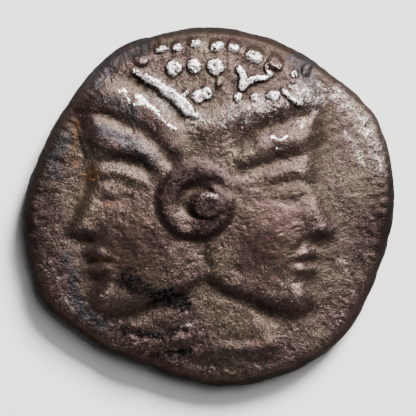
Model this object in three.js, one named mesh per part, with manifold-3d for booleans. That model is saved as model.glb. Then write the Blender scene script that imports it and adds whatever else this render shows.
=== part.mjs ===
// Silver diobol, struck by hand on a thick uneven blank.
// Upper face: two heads joined back to back. Lower face: a shallow punched square with a small helmeted head.
// Millimetres. The origin is on the flat lower face, under the middle of the outline, and +Y is the crown.
import * as THREE from "three";
import { mergeVertices } from "three/addons/utils/BufferGeometryUtils.js";
import Module from "manifold-3d";

// The blank
const coinWidth = 11.0;
const coinHeight = 10.62;
const fieldLevel = 1.3; // ground beside the heads, above the flat lower face
const fieldSag = 0.08; // how far the ground drops towards the edge
const sagPower = 4; // it drops with this power of the distance from the middle
const waistLevel = 0.6; // widest line of the edge
const upperRound = 0.3; // how far the upper edge rounds in
const lowerRound = 0.6; // how far the lower edge rounds in

// Swells and dents of the outline: place in degrees from +X, share of the mean radius, spread in degrees
const outlineSwells = [
  [8, 0.032, 18],
  [29, 0.045, 12],
  [75, -0.01, 45],
  [120, 0.015, 9],
  [147, -0.038, 17],
  [166, -0.01, 9],
  [187, 0.032, 15],
  [209, 0.056, 11],
  [250, -0.051, 17],
  [282, 0.008, 22],
  [312, 0.038, 18],
];

// The rounded side between its ends: share of the round's width, then share of its height
const upperShoulder = [0.3, 0.72];
const lowerShoulder = [0.26, 0.36];

// Extra width of the upper edge, as a share of its round: place in degrees, share, spread in degrees
const edgeSwells = [
  [148, 0.533, 26],
  [205, 0.467, 24],
  [258, 1, 34],
  [332, 0.467, 22],
];
// Extra drop of the ground, as a share of its sag: place in degrees, share, spread in degrees
const sagSwells = [
  [30, 1.5, 26],
  [95, 0.75, 30],
  [160, -0.875, 22],
  [255, 2.25, 38],
];

// Low swells and hollows of the ground. Places are shares of the half width and half height,
// rise is a share of the swell height, and spread is a share of the half width.
const swellHeight = 0.05;
const fadePower = 6; // they fade out at the edge with this power of the distance from the middle
const groundSwells = [
  { at: [0.83, 0.1], rise: 1, spread: 0.164 },
  { at: [0.6, -0.66], rise: -1, spread: 0.145 },
  { at: [-0.84, -0.2], rise: 0.8, spread: 0.127 },
  { at: [-0.62, -0.62], rise: -1, spread: 0.127 },
  { at: [0.82, 0.5], rise: 0.8, spread: 0.109 },
  { at: [-0.8, 0.36], rise: -0.8, spread: 0.091 },
];

// The double head
const headHeight = 8.1; // chin to crown
const headShift = -0.1; // the line between the two heads, from the middle of the blank
const crownMargin = 0.24; // bare metal above the crown
const crownShare = 1.01; // top of the hair, as a share of the head height
const headRelief = 0.26; // step from the ground up to the heads
const headDome = 0.17; // further rise towards the ear ornament
const stepWidth = 0.34; // width of the step inside the outline
const footShare = 0.5; // how far outside the outline it begins, as a share of that width
const hairShare = 2; // how far inside the hair reaches its full height, as a share of that width
const neckRelief = 0.15;
const seamDepth = 0.08; // groove where the two heads meet, below the ear ornament
const creaseWidth = 0.03; // rounding where one form meets another
const faceRelief = 0.1; // modelling of brow, cheek, nose and chin
const hairRelief = 0.16; // rolls of hair
const diademRelief = 0.12;
const bandRelief = 0.05; // bands round the neck
const bossRelief = 0.2; // middle of the ear ornament
const ringRelief = 0.17;
const ringGroove = 0.1;
const pearlRelief = 0.12; // how far a dot of hair stands up
const pearlSink = 0.12; // how far its ball goes on below the surface

// The lower face
const punchDepth = 0.3;
const punchTurn = 8; // degrees
const draftWidth = 0.16; // how much narrower the square is at its floor
const landWidth = 0.6; // flat metal left outside the corners of the square
const reverseRelief = 0.2; // rise of the small head from the floor of the square
const leastFloor = 0.02; // how far below the flat the top of the small head stays
const reverseHeadShare = 0.94; // its height as a share of the square

// Mesh
const faceDivisions = 52;
const slideShare = 0.36; // how far a grid point may slide onto a carved line, as a share of the grid's cell
const settlingPasses = 3; // rounds of sliding thin cells back
const thinShare = 0.3; // a corner of a cell is thin under this share of a square cell
const punchDivisions = 24;
const pearlSides = 8;
const pearlRings = 5;
const lineSteps = 20; // stretches of a carved line
const outlineSteps = 220; // stretches of the outline of the heads
const weldDistance = 1e-5; // points closer than this are one
const fullTurn = 360;

const chinLevel = coinHeight / 2 - crownMargin - crownShare * headHeight;
const silver = new THREE.MeshStandardMaterial({ color: 0x7a6860, roughness: 0.42, metalness: 0.85 });

// From here the carving is in shares of the head height: across from the line between the heads,
// and up from the chin.
const leftReach = 1.05; // the left face stands a little further out than the right one
const dome = { up: 0.45, across: 0.33, along: 0.5 };
const headOutline = {
  crown: [[0, 1.01], [0.14, 0.99], [0.25, 0.945], [0.34, 0.89], [0.405, 0.815], [0.425, 0.73], [0.405, 0.64]],
  face: [
    [0.392, 0.585], [0.4, 0.54], [0.398, 0.475], [0.437, 0.375], [0.466, 0.3], [0.455, 0.275],
    [0.392, 0.262], [0.408, 0.213], [0.38, 0.186], [0.4, 0.156], [0.366, 0.12], [0.388, 0.06],
    [0.372, 0.012], [0.325, -0.004],
  ],
  jaw: [[0.25, 0.004], [0.16, 0.03], [0.07, 0.062]],
  nape: [0, 0.1],
};
const neckOutline = [
  [-0.12, 0.2], [0.12, 0.2], [0.16, 0.1], [0.2, 0], [0.265, -0.06], [0.28, -0.12], [0.22, -0.168],
  [0, -0.175], [-0.24, -0.165], [-0.31, -0.11], [-0.31, -0.05], [-0.2, 0.01], [-0.16, 0.1],
];

// Carved lines: half width, rise as a share of the relief, and the points that the line runs through
const hairLines = [
  {
    half: 0.028,
    rise: 0.6,
    through: [[-0.412, 0.803], [-0.346, 0.81], [-0.288, 0.799], [-0.212, 0.763], [-0.11, 0.664]],
  },
  {
    half: 0.05,
    rise: 0.75,
    through: [[-0.426, 0.763], [-0.346, 0.755], [-0.263, 0.723], [-0.193, 0.675], [-0.128, 0.606]],
  },
  {
    half: 0.022,
    rise: -0.8,
    through: [[-0.434, 0.726], [-0.339, 0.706], [-0.241, 0.663], [-0.182, 0.617], [-0.121, 0.555]],
  },
  { half: 0.04, rise: 0.4, through: [[-0.42, 0.68], [-0.34, 0.655], [-0.26, 0.625], [-0.2, 0.59]] },
  {
    half: 0.026,
    rise: 0.7,
    through: [[-0.426, 0.643], [-0.386, 0.632], [-0.328, 0.604], [-0.23, 0.575], [-0.172, 0.519]],
  },
  {
    half: 0.026,
    rise: -0.7,
    through: [[-0.463, 0.603], [-0.408, 0.552], [-0.317, 0.544], [-0.244, 0.533], [-0.193, 0.508]],
  },
  { half: 0.03, rise: -0.35, through: [[-0.33, 0.85], [-0.25, 0.822], [-0.178, 0.777], [-0.1, 0.702]] },
  {
    half: 0.012,
    rise: -0.4,
    through: [[-0.354, 0.876], [-0.273, 0.843], [-0.208, 0.803], [-0.146, 0.752], [-0.07, 0.694]],
  },
  {
    half: 0.045,
    rise: 0.85,
    through: [[0, 0.664], [0.072, 0.708], [0.163, 0.735], [0.309, 0.763], [0.426, 0.81]],
  },
  {
    half: 0.022,
    rise: -0.8,
    through: [[0.116, 0.6], [0.193, 0.66], [0.244, 0.683], [0.305, 0.701], [0.411, 0.735]],
  },
  {
    half: 0.034,
    rise: 0.75,
    through: [[0.142, 0.562], [0.182, 0.584], [0.229, 0.606], [0.291, 0.623], [0.393, 0.643]],
  },
  {
    half: 0.022,
    rise: -0.6,
    through: [[0.127, 0.508], [0.171, 0.522], [0.254, 0.548], [0.331, 0.566], [0.4, 0.581]],
  },
];
// Ridges of the hair bands: one on the left, a forked one and a short one on the right
const diademLines = [
  {
    half: 0.02,
    rise: 1,
    through: [[-0.236, 0.87], [-0.172, 0.828], [-0.128, 0.796], [-0.088, 0.762], [-0.046, 0.722]],
  },
  { half: 0.016, rise: 1, through: [[0.123, 0.879], [0.134, 0.869], [0.138, 0.843], [0.134, 0.818]] },
  { half: 0.014, rise: 0.95, through: [[0.134, 0.818], [0.156, 0.836], [0.182, 0.85], [0.214, 0.854]] },
  { half: 0.012, rise: 0.7, through: [[0.28, 0.807], [0.298, 0.788], [0.316, 0.774], [0.342, 0.759]] },
];
const neckLines = [
  {
    half: 0.018,
    rise: -1.1,
    through: [[-0.3, -0.055], [-0.244, -0.076], [-0.142, -0.058], [-0.05, -0.03]],
  },
  { half: 0.022, rise: 0.9, through: [[-0.24, -0.115], [-0.127, -0.1], [-0.03, -0.08]] },
  { half: 0.016, rise: -0.9, through: [[-0.21, -0.146], [-0.13, -0.141], [-0.02, -0.118]] },
  { half: 0.016, rise: -0.8, through: [[0.08, -0.098], [0.16, -0.1], [0.235, -0.088]] },
  { half: 0.02, rise: 0.8, through: [[0.07, -0.126], [0.16, -0.128], [0.235, -0.114]] },
  { half: 0.015, rise: -0.7, through: [[0.073, -0.152], [0.178, -0.154], [0.23, -0.14]] },
];
const seamLines = [
  { half: 0.034, rise: -1, through: [[-0.02, 0.25], [-0.008, 0.18], [0.004, 0.1], [0.04, 0.04]] },
];

// The face looks away from the line between the heads. Both faces share these forms.
const faceLines = [
  { half: 0.02, rise: 0.6, through: [[0.24, 0.49], [0.31, 0.512], [0.392, 0.497]] }, // brow
  // bridge of the nose
  {
    half: 0.022,
    rise: 0.55,
    through: [[0.39, 0.46], [0.415, 0.375], [0.443, 0.305]],
  },
  { half: 0.015, rise: 0.6, through: [[0.345, 0.205], [0.395, 0.213]] }, // upper lip
  { half: 0.015, rise: 0.6, through: [[0.345, 0.163], [0.388, 0.158]] }, // lower lip
  { half: 0.011, rise: -0.6, through: [[0.328, 0.185], [0.375, 0.186]] }, // mouth
  // fold by the nose
  {
    half: 0.016,
    rise: -0.45,
    through: [[0.372, 0.302], [0.358, 0.262], [0.335, 0.222]],
  },
  // upper lid
  {
    half: 0.009,
    rise: 0.4,
    through: [[0.268, 0.436], [0.3, 0.462], [0.335, 0.465], [0.365, 0.446]],
  },
  { half: 0.008, rise: 0.28, through: [[0.272, 0.432], [0.31, 0.42], [0.352, 0.428]] }, // lower lid
  { half: 0.01, rise: -0.35, through: [[0.408, 0.272], [0.436, 0.275]] }, // nostril
];
const faceSwells = [
  { at: [0.24, 0.28], size: [0.13, 0.13], rise: 1 }, // cheek
  { at: [0.318, 0.442], size: [0.072, 0.046], rise: -1 }, // eye socket
  { at: [0.322, 0.442], size: [0.036, 0.022], rise: 1.1 }, // eye
  { at: [0.402, 0.287], size: [0.026, 0.022], rise: 0.7 }, // wing of the nose
  { at: [0.345, 0.068], size: [0.042, 0.042], rise: 0.7 }, // chin
];

// Ear ornament: an oval boss in a flat ring, with a hollow between them that is open at the upper left
const boss = { at: [0.009, 0.386], flat: 0.036, foot: 0.066, stretch: 1.2 };
const ring = { at: [-0.033, 0.406], crest: 0.1, flat: 0.018, foot: 0.05 };
const ringHollow = { radius: 0.085, half: 0.02, from: 35, to: 222, fade: 22 };

// Dots of hair: place across and up, half width and half height, tilt in degrees
const fullPearl = 0.026; // a dot at least this wide stands up the full relief
const pearls = [
  // First row, from the left
  [-0.23, 0.917, 0.034, 0.024, -5],
  [-0.159, 0.961, 0.03, 0.02, 25],
  [-0.102, 0.967, 0.025, 0.021, 32],
  [-0.04, 0.981, 0.025, 0.022, 30],
  [0.041, 0.972, 0.03, 0.025, 25],
  [0.102, 0.97, 0.03, 0.025, 5],
  [0.182, 0.937, 0.038, 0.028, -20],
  [0.254, 0.905, 0.036, 0.028, -30],
  // Second row
  [-0.113, 0.886, 0.033, 0.033, 0],
  [-0.042, 0.893, 0.033, 0.033, 0],
  [0.037, 0.891, 0.036, 0.036, 0],
  // Third row
  [-0.022, 0.784, 0.028, 0.028, 0],
  [0.005, 0.793, 0.028, 0.028, 0],
  [0.12, 0.781, 0.018, 0.02, 0],
  [0.178, 0.781, 0.018, 0.018, 0],
  [0.247, 0.786, 0.03, 0.022, 0],
  // Beside the right band
  [0.051, 0.836, 0.016, 0.022, 0],
  [0.236, 0.866, 0.014, 0.013, 0],
  [0.32, 0.868, 0.015, 0.015, 0],
  [0.32, 0.839, 0.012, 0.01, 0],
  [0.309, 0.814, 0.012, 0.012, 0],
  [0.364, 0.877, 0.024, 0.02, -40],
];

// Helmeted head inside the square, in shares of its own height from its middle
const helmetOutline = [
  [-0.3, 0.1], [-0.26, 0.3], [-0.08, 0.44], [0.14, 0.44], [0.34, 0.32], [0.42, 0.1], [0.44, -0.14],
  [0.3, -0.1], [0.2, -0.2], [0.2, -0.42], [0, -0.46], [-0.16, -0.4], [-0.14, -0.28], [-0.26, -0.28],
  [-0.3, -0.16], [-0.27, -0.08], [-0.34, -0.03],
];
const helmetStep = 0.08;
const helmetDome = { share: 0.25, spread: 0.35 };
const helmetLines = [
  { half: 0.035, rise: 0.6, through: [[-0.31, 0.12], [-0.1, 0.14], [0.1, 0.06], [0.22, -0.1]] },
  { half: 0.045, rise: 0.6, through: [[-0.2, 0.38], [0.1, 0.42], [0.34, 0.28], [0.42, 0.02]] },
  { half: 0.03, rise: -0.6, through: [[-0.22, 0.02], [-0.12, 0.02]] },
];

function clamp(value, low, high) {
  return Math.min(high, Math.max(low, value));
}

// Zero below the first mark, one above the second, and smooth between them.
function smoothStep(low, high, value) {
  const t = clamp((value - low) / (high - low), 0, 1);
  return t * t * (3 - 2 * t);
}

// Bell of height one, falling off over the given spread.
function bell(distance, spread) {
  return Math.exp(-((distance / spread) ** 2));
}

// Larger of two heights, with the crease between them rounded.
function blendMax(a, b, softness) {
  return (a + b + Math.sqrt((a - b) ** 2 + softness ** 2) - softness) / 2;
}

function swellSum(swells, degrees) {
  return swells.reduce((sum, [place, size, spread]) => {
    const away = THREE.MathUtils.euclideanModulo(degrees - place + fullTurn / 2, fullTurn) - fullTurn / 2;
    return sum + size * bell(away, spread);
  }, 0);
}

// Points of a smooth line through the given ones.
function lineThrough(through, closed, count) {
  const curve = new THREE.CatmullRomCurve3(
    through.map(([x, y]) => new THREE.Vector3(x, y, 0)),
    closed,
    "centripetal",
  );
  return curve.getPoints(count).map((point) => [point.x, point.y]);
}

// Nearest point of a line of points, and how far away it is.
function nearestOn(line, x, y) {
  let best = { distance: Infinity };
  for (let i = 0; i + 1 < line.length; i++) {
    const [ax, ay] = line[i];
    const [bx, by] = line[i + 1];
    const dx = bx - ax;
    const dy = by - ay;
    const t = clamp(((x - ax) * dx + (y - ay) * dy) / (dx * dx + dy * dy), 0, 1);
    const distance = Math.hypot(x - ax - t * dx, y - ay - t * dy);
    if (distance < best.distance) best = { distance, x: ax + t * dx, y: ay + t * dy };
  }
  return best;
}

function distanceTo(line, x, y) {
  return nearestOn(line, x, y).distance;
}

// Distance inside a closed line, below zero outside it.
function depthInside(line, x, y) {
  let inside = false;
  for (let i = 0; i + 1 < line.length; i++) {
    const [ax, ay] = line[i];
    const [bx, by] = line[i + 1];
    if (ay > y !== by > y && x < ax + ((y - ay) / (by - ay)) * (bx - ax)) inside = !inside;
  }
  return distanceTo(line, x, y) * (inside ? 1 : -1);
}

function heightOf(line, x, y) {
  return line.rise * bell(distanceTo(line.path, x, y), line.half);
}

// Sum of crests and grooves, each a bell across its line.
function carvedLines(lines, x, y) {
  return lines.reduce((sum, line) => sum + heightOf(line, x, y), 0);
}

// The highest of several ridges, so that they don't pile up where they meet.
function ridges(lines, x, y) {
  return Math.max(...lines.map((line) => heightOf(line, x, y)));
}

const carved = [...hairLines, ...diademLines, ...neckLines, ...seamLines, ...faceLines, ...helmetLines];
for (const line of carved) {
  line.path = lineThrough(line.through, false, lineSteps);
}

const rightSide = [...headOutline.crown, ...headOutline.face, ...headOutline.jaw];
const leftSide = rightSide.slice(1).reverse().map(([x, y]) => [-x * leftReach, y]);
const headPath = lineThrough([...rightSide, headOutline.nape, ...leftSide], true, outlineSteps);
const neckPath = lineThrough(neckOutline, true, outlineSteps / 2);
const helmetPath = lineThrough(helmetOutline, true, outlineSteps / 2);

function faceForms(across, up) {
  const outward = across > 0 ? across : -across / leftReach;
  const swells = faceSwells.reduce((sum, { at, size, rise }) => {
    return sum + rise * bell(Math.hypot((outward - at[0]) / size[0], (up - at[1]) / size[1]), 1);
  }, 0);
  return faceRelief * (swells + carvedLines(faceLines, outward, up));
}

// Level on top and zero outside, falling smoothly from the edge of the flat to the foot.
function plateau(distance, { flat, foot }) {
  return 1 - smoothStep(flat, foot, distance);
}

function earOrnament(across, up) {
  const dx = across - boss.at[0];
  const dy = up - boss.at[1];
  const away = Math.hypot(dx / boss.stretch, dy);
  const middle = bossRelief * plateau(away, boss);
  const fromRing = Math.hypot(across - ring.at[0], up - ring.at[1]);
  const band = ringRelief * plateau(Math.abs(fromRing - ring.crest), ring);
  const turn = THREE.MathUtils.euclideanModulo(THREE.MathUtils.radToDeg(Math.atan2(dy, dx)), fullTurn);
  const open =
    smoothStep(ringHollow.from - ringHollow.fade, ringHollow.from, turn) *
    (1 - smoothStep(ringHollow.to, ringHollow.to + ringHollow.fade, turn));
  const hollow = ringGroove * open * bell(away - ringHollow.radius, ringHollow.half);
  return blendMax(middle, band, creaseWidth) - hollow;
}

// Height of the carving above the ground at a point of the coin.
function carving(x, y) {
  const [across, up] = headShares(x, y);
  const step = stepWidth / headHeight;
  const inHead = smoothStep(-step * footShare, step, depthInside(headPath, across, up));
  const inHair = smoothStep(-step * footShare, step * hairShare, depthInside(headPath, across, up));
  const inNeck = smoothStep(-step * footShare, step, depthInside(neckPath, across, up));
  const swell = headDome * bell(across, dome.across) * bell(up - dome.up, dome.along);
  const seam = seamDepth * carvedLines(seamLines, across, up);
  const head = inHead * (headRelief + swell + seam + faceForms(across, up));
  const neck = inNeck * (neckRelief + bandRelief * carvedLines(neckLines, across, up));
  const hair = hairRelief * carvedLines(hairLines, across, up);
  const diadem = diademRelief * ridges(diademLines, across, up);
  return blendMax(head, neck, creaseWidth) + inHair * (hair + diadem + earOrnament(across, up));
}

function headShares(x, y) {
  return [(x - headShift) / headHeight, (y - chinLevel) / headHeight];
}

// Outline of the blank, stretched to its width and height and centred on the origin.
function outlineOf(count) {
  const raw = Array.from({ length: count }, (_, i) => {
    const degrees = (fullTurn * i) / count;
    const radius = 1 + swellSum(outlineSwells, degrees);
    const turn = THREE.MathUtils.degToRad(degrees);
    return new THREE.Vector2(radius * Math.cos(turn), radius * Math.sin(turn));
  });
  const box = new THREE.Box2().setFromPoints(raw);
  const size = box.getSize(new THREE.Vector2());
  const middle = box.getCenter(new THREE.Vector2());
  const scale = new THREE.Vector2(coinWidth / size.x, coinHeight / size.y);
  return raw.map((point) => point.sub(middle).multiply(scale));
}

const rimCount = 4 * faceDivisions;
const outline = outlineOf(rimCount);

function edgeRound(index) {
  return upperRound * (1 + swellSum(edgeSwells, (fullTurn * index) / rimCount));
}

// A rim point moved straight in towards the middle.
function insetPoint(index, inset) {
  const point = outline[index];
  return point.clone().multiplyScalar(1 - inset / point.length());
}

// Distance from the middle to the rounded edge, in any direction.
function reachAt(turn) {
  const place = ((turn / (2 * Math.PI)) * rimCount + rimCount) % rimCount;
  const low = Math.floor(place) % rimCount;
  const high = (low + 1) % rimCount;
  const from = insetPoint(low, edgeRound(low)).length();
  const to = insetPoint(high, edgeRound(high)).length();
  return from + (to - from) * (place - Math.floor(place));
}

function fieldAt(share, turn) {
  const sag = fieldSag * (1 + swellSum(sagSwells, THREE.MathUtils.radToDeg(turn)));
  return fieldLevel - sag * share ** sagPower;
}

// Level of the struck face at a point of the coin.
function groundAt(x, y) {
  const turn = Math.atan2(y, x);
  const share = Math.min(1, Math.hypot(x, y) / reachAt(turn));
  const swells = groundSwells.reduce((sum, { at, rise, spread }) => {
    const away = Math.hypot(x - (at[0] * coinWidth) / 2, y - (at[1] * coinHeight) / 2);
    return sum + swellHeight * rise * bell(away, (spread * coinWidth) / 2);
  }, 0);
  return fieldAt(share, turn) + (1 - share ** fadePower) * swells + carving(x, y);
}

// The nearest crest, groove or edge of a step within reach of a point, so that the mesh follows the carving.
function slideOnto(x, y, reach) {
  const [across, up] = headShares(x, y);
  const side = across < 0 ? -leftReach : 1;
  const step = stepWidth / headHeight;
  const found = [];
  for (const line of [...diademLines, ...hairLines, ...neckLines, ...seamLines]) {
    found.push(nearestOn(line.path, across, up));
  }
  for (const line of faceLines) {
    const near = nearestOn(line.path, across / side, up);
    found.push({ ...near, x: near.x * side });
  }
  const rim = nearestOn(headPath, across, up);
  const depth = depthInside(headPath, across, up);
  const wanted = depth > 0 ? step : step * footShare;
  const away = rim.distance || 1;
  found.push({
    distance: Math.abs(rim.distance - wanted),
    x: rim.x + ((across - rim.x) * wanted) / away,
    y: rim.y + ((up - rim.y) * wanted) / away,
  });
  const best = found.reduce((a, b) => (b.distance < a.distance ? b : a));
  if (best.distance * headHeight > reach) return [x, y];
  return [headShift + best.x * headHeight, chinLevel + best.y * headHeight];
}

// The square grid laid over the blank: its rings become rings of the outline.
function gridPoint(row, column) {
  const half = faceDivisions / 2;
  const u = column - half;
  const v = row - half;
  const ringNumber = Math.max(Math.abs(u), Math.abs(v));
  if (ringNumber === 0) return { x: 0, y: 0, border: false };
  const sideways = Math.abs(u) >= Math.abs(v);
  const eighth = sideways ? v / u + (u > 0 ? 0 : 4) : (v > 0 ? 2 : 6) - u / v;
  const turn = (eighth * Math.PI) / 4;
  const radius = (reachAt(turn) * ringNumber) / half;
  return { x: radius * Math.cos(turn), y: radius * Math.sin(turn), border: ringNumber === half };
}

function cornerArea(a, b, c) {
  return (b.x - a.x) * (c.y - a.y) - (c.x - a.x) * (b.y - a.y);
}

// Grid of the struck face. A point that would make a thin or folded face slides back to where it was.
function faceGrid() {
  const cell = Math.min(coinWidth, coinHeight) / faceDivisions;
  const smallest = thinShare * cell * cell;
  const start = [];
  for (let row = 0; row <= faceDivisions; row++) {
    for (let column = 0; column <= faceDivisions; column++) start.push(gridPoint(row, column));
  }
  const grid = start.map((point) => {
    if (point.border) return { ...point };
    const [x, y] = slideOnto(point.x, point.y, slideShare * cell);
    return { ...point, x, y };
  });
  for (let pass = 0; pass < settlingPasses; pass++) {
    for (const [a, b, c, d] of gridCells(faceDivisions)) {
      const corners = [grid[a], grid[b], grid[d], grid[c]];
      const thin = corners.some((corner, i) => {
        return cornerArea(corners[(i + 3) % 4], corner, corners[(i + 1) % 4]) < smallest;
      });
      if (!thin) continue;
      for (const index of [a, b, c, d]) Object.assign(grid[index], start[index]);
    }
  }
  return grid;
}

// Corners of each cell of a square grid: lower left, lower right, upper left, upper right.
function gridCells(divisions) {
  const stride = divisions + 1;
  const cells = [];
  for (let row = 0; row < divisions; row++) {
    for (let column = 0; column < divisions; column++) {
      const a = row * stride + column;
      cells.push([a, a + 1, a + stride, a + stride + 1]);
    }
  }
  return cells;
}

// Faces of a grid of points: each cell is split along the diagonal that lies closer to the true surface.
function splitCells(points, divisions, levelAt) {
  return gridCells(divisions).flatMap(([a, b, c, d]) => {
    const corners = [a, b, c, d].map((index) => points[index]);
    const middle = [0, 1].map((axis) => corners.reduce((sum, corner) => sum + corner[axis] / 4, 0));
    const level = levelAt(...middle);
    const rising = Math.abs((points[a][2] + points[d][2]) / 2 - level);
    const falling = Math.abs((points[b][2] + points[c][2]) / 2 - level);
    return rising < falling ? [[a, b, d], [a, d, c]] : [[a, b, c], [b, d, c]];
  });
}

// Border of a grid, counter-clockwise from its lower left corner.
function gridBorder(divisions) {
  const stride = divisions + 1;
  const steps = Array.from({ length: divisions }, (_, i) => i);
  return [
    ...steps,
    ...steps.map((i) => i * stride + divisions),
    ...steps.map((i) => divisions * stride + divisions - i),
    ...steps.map((i) => (divisions - i) * stride),
  ];
}

// Closed surface of the blank: struck face, rounded edge and flat lower face.
function blankGeometry() {
  const points = faceGrid().map(({ x, y }) => [x, y, groundAt(x, y)]);
  const faces = splitCells(points, faceDivisions, groundAt);
  // Border turned to start in the middle of the right side, as the outline does
  const fromCorner = gridBorder(faceDivisions);
  const start = 1.5 * faceDivisions;
  const border = [...fromCorner.slice(start), ...fromCorner.slice(0, start)];
  // Rings down the side, on every other rim point
  const ringSize = rimCount / 2;
  const ringStart = points.length;
  const topAt = (i) => fieldAt(1, (i / rimCount) * 2 * Math.PI);
  const rings = [
    (i) => [upperShoulder[0] * edgeRound(i), waistLevel + upperShoulder[1] * (topAt(i) - waistLevel)],
    () => [0, waistLevel],
    () => [lowerShoulder[0] * lowerRound, lowerShoulder[1] * waistLevel],
    () => [lowerRound, 0],
  ];
  for (const ringAt of rings) {
    for (let i = 0; i < ringSize; i++) {
      const [inset, level] = ringAt(2 * i);
      const point = insetPoint(2 * i, inset);
      points.push([point.x, point.y, level]);
    }
  }
  for (let i = 0; i < ringSize; i++) {
    const next = (i + 1) % ringSize;
    const [a, b, c] = [border[2 * i], border[2 * i + 1], border[(2 * i + 2) % rimCount]];
    faces.push([a, ringStart + i, b], [b, ringStart + i, ringStart + next], [b, ringStart + next, c]);
    for (let level = 0; level + 1 < rings.length; level++) {
      const upper = ringStart + level * ringSize;
      const lower = upper + ringSize;
      faces.push([upper + i, lower + i, lower + next], [upper + i, lower + next, upper + next]);
    }
  }
  const floor = points.length;
  const lastRing = floor - ringSize;
  points.push([0, 0, 0]);
  for (let i = 0; i < ringSize; i++) {
    faces.push([floor, lastRing + ((i + 1) % ringSize), lastRing + i]);
  }
  return geometryOf(points, faces);
}

function geometryOf(points, faces) {
  const geometry = new THREE.BufferGeometry();
  geometry.setAttribute("position", new THREE.Float32BufferAttribute(points.flat(), 3));
  geometry.setIndex(faces.flat());
  return geometry;
}

// One dot of hair: an oval ball that stands up from the carving under it.
function pearlGeometry([across, up, halfWidth, halfHeight, tilt]) {
  const x = headShift + headHeight * across;
  const y = chinLevel + headHeight * up;
  const rise = pearlRelief * Math.min(1, halfWidth / fullPearl);
  const depth = rise + pearlSink;
  const widen = headHeight / Math.sqrt(1 - (pearlSink / depth) ** 2);
  const geometry = new THREE.SphereGeometry(1, pearlSides, pearlRings);
  geometry.rotateX(Math.PI / 2);
  geometry.scale(halfWidth * widen, halfHeight * widen, depth);
  geometry.rotateZ(THREE.MathUtils.degToRad(tilt));
  geometry.translate(x, y, groundAt(x, y) + rise - depth);
  return geometry;
}

function reverseHead(x, y, height) {
  const across = x / height;
  const up = y / height;
  const inside = smoothStep(-helmetStep * footShare, helmetStep, depthInside(helmetPath, across, up));
  const swell = helmetDome.share * (bell(Math.hypot(across, up), helmetDome.spread) - 1);
  return reverseRelief * inside * (1 + swell + carvedLines(helmetLines, across, up));
}

// Body of the punch: its top is the floor of the square, hollowed where the small head stands.
function punchGeometry() {
  const reach = Math.min(coinWidth, coinHeight) / 2 - lowerRound - landWidth;
  const mouth = reach * Math.SQRT2;
  const floorSide = mouth - 2 * draftWidth;
  const headSize = reverseHeadShare * floorSide;
  const below = -punchDepth;
  const drop = punchDepth - below;
  const baseSide = floorSide + (2 * draftWidth * drop) / punchDepth;
  const floorAt = (x, y) => punchDepth - Math.min(reverseHead(x, y, headSize), punchDepth - leastFloor);
  const points = [];
  for (let row = 0; row <= punchDivisions; row++) {
    for (let column = 0; column <= punchDivisions; column++) {
      const x = (column / punchDivisions - 0.5) * floorSide;
      const y = (row / punchDivisions - 0.5) * floorSide;
      points.push([x, y, floorAt(x, y)]);
    }
  }
  const faces = splitCells(points, punchDivisions, floorAt);
  const border = gridBorder(punchDivisions);
  const base = points.length;
  for (const index of border) {
    const [x, y] = points[index];
    points.push([(x * baseSide) / floorSide, (y * baseSide) / floorSide, below]);
  }
  const middle = points.length;
  points.push([0, 0, below]);
  border.forEach((index, i) => {
    const next = (i + 1) % border.length;
    faces.push([index, base + i, border[next]], [border[next], base + i, base + next]);
    faces.push([middle, base + next, base + i]);
  });
  const geometry = geometryOf(points, faces);
  geometry.rotateZ(THREE.MathUtils.degToRad(punchTurn));
  return geometry;
}

const wasm = await Module();
wasm.setup();

function solidOf(geometry) {
  geometry.deleteAttribute("normal");
  geometry.deleteAttribute("uv");
  const merged = mergeVertices(geometry, weldDistance);
  return new wasm.Manifold(
    new wasm.Mesh({
      numProp: 3,
      vertProperties: merged.attributes.position.array,
      triVerts: new Uint32Array(merged.index.array),
    }),
  );
}

function meshGeometry(solid) {
  const made = solid.getMesh();
  const geometry = new THREE.BufferGeometry();
  geometry.setAttribute("position", new THREE.Float32BufferAttribute(made.vertProperties, made.numProp));
  geometry.setIndex(new THREE.Uint32BufferAttribute(made.triVerts, 1));
  geometry.computeVertexNormals();
  return geometry;
}

function coinSolid() {
  let solid = solidOf(blankGeometry());
  for (const pearl of pearls) solid = solid.add(solidOf(pearlGeometry(pearl)));
  return solid.subtract(solidOf(punchGeometry()));
}

const coin = new THREE.Mesh(meshGeometry(coinSolid()), silver);
coin.name = "coin";

const diobol = new THREE.Group();
diobol.add(coin);

export default diobol;
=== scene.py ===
import math

import bpy
import numpy as np
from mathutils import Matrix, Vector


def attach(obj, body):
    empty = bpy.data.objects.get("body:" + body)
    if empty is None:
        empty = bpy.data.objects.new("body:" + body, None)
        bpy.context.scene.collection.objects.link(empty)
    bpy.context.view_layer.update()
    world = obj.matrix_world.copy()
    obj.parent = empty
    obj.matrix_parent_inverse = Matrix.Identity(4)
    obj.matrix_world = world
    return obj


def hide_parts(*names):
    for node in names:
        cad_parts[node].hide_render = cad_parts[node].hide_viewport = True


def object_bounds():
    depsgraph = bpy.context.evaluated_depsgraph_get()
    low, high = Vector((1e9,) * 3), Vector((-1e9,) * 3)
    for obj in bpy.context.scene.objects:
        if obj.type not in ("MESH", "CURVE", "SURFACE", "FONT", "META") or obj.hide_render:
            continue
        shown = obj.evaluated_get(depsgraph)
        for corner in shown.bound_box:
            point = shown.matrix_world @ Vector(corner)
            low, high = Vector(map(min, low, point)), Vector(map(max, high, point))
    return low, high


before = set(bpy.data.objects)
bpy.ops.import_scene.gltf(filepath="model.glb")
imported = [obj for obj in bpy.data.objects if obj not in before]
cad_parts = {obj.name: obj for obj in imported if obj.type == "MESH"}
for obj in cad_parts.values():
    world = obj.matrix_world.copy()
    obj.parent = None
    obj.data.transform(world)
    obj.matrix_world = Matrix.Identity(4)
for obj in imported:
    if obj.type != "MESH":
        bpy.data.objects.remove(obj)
cadLow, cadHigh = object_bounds()
mm = 0.001
print("frame loaded")

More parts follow.
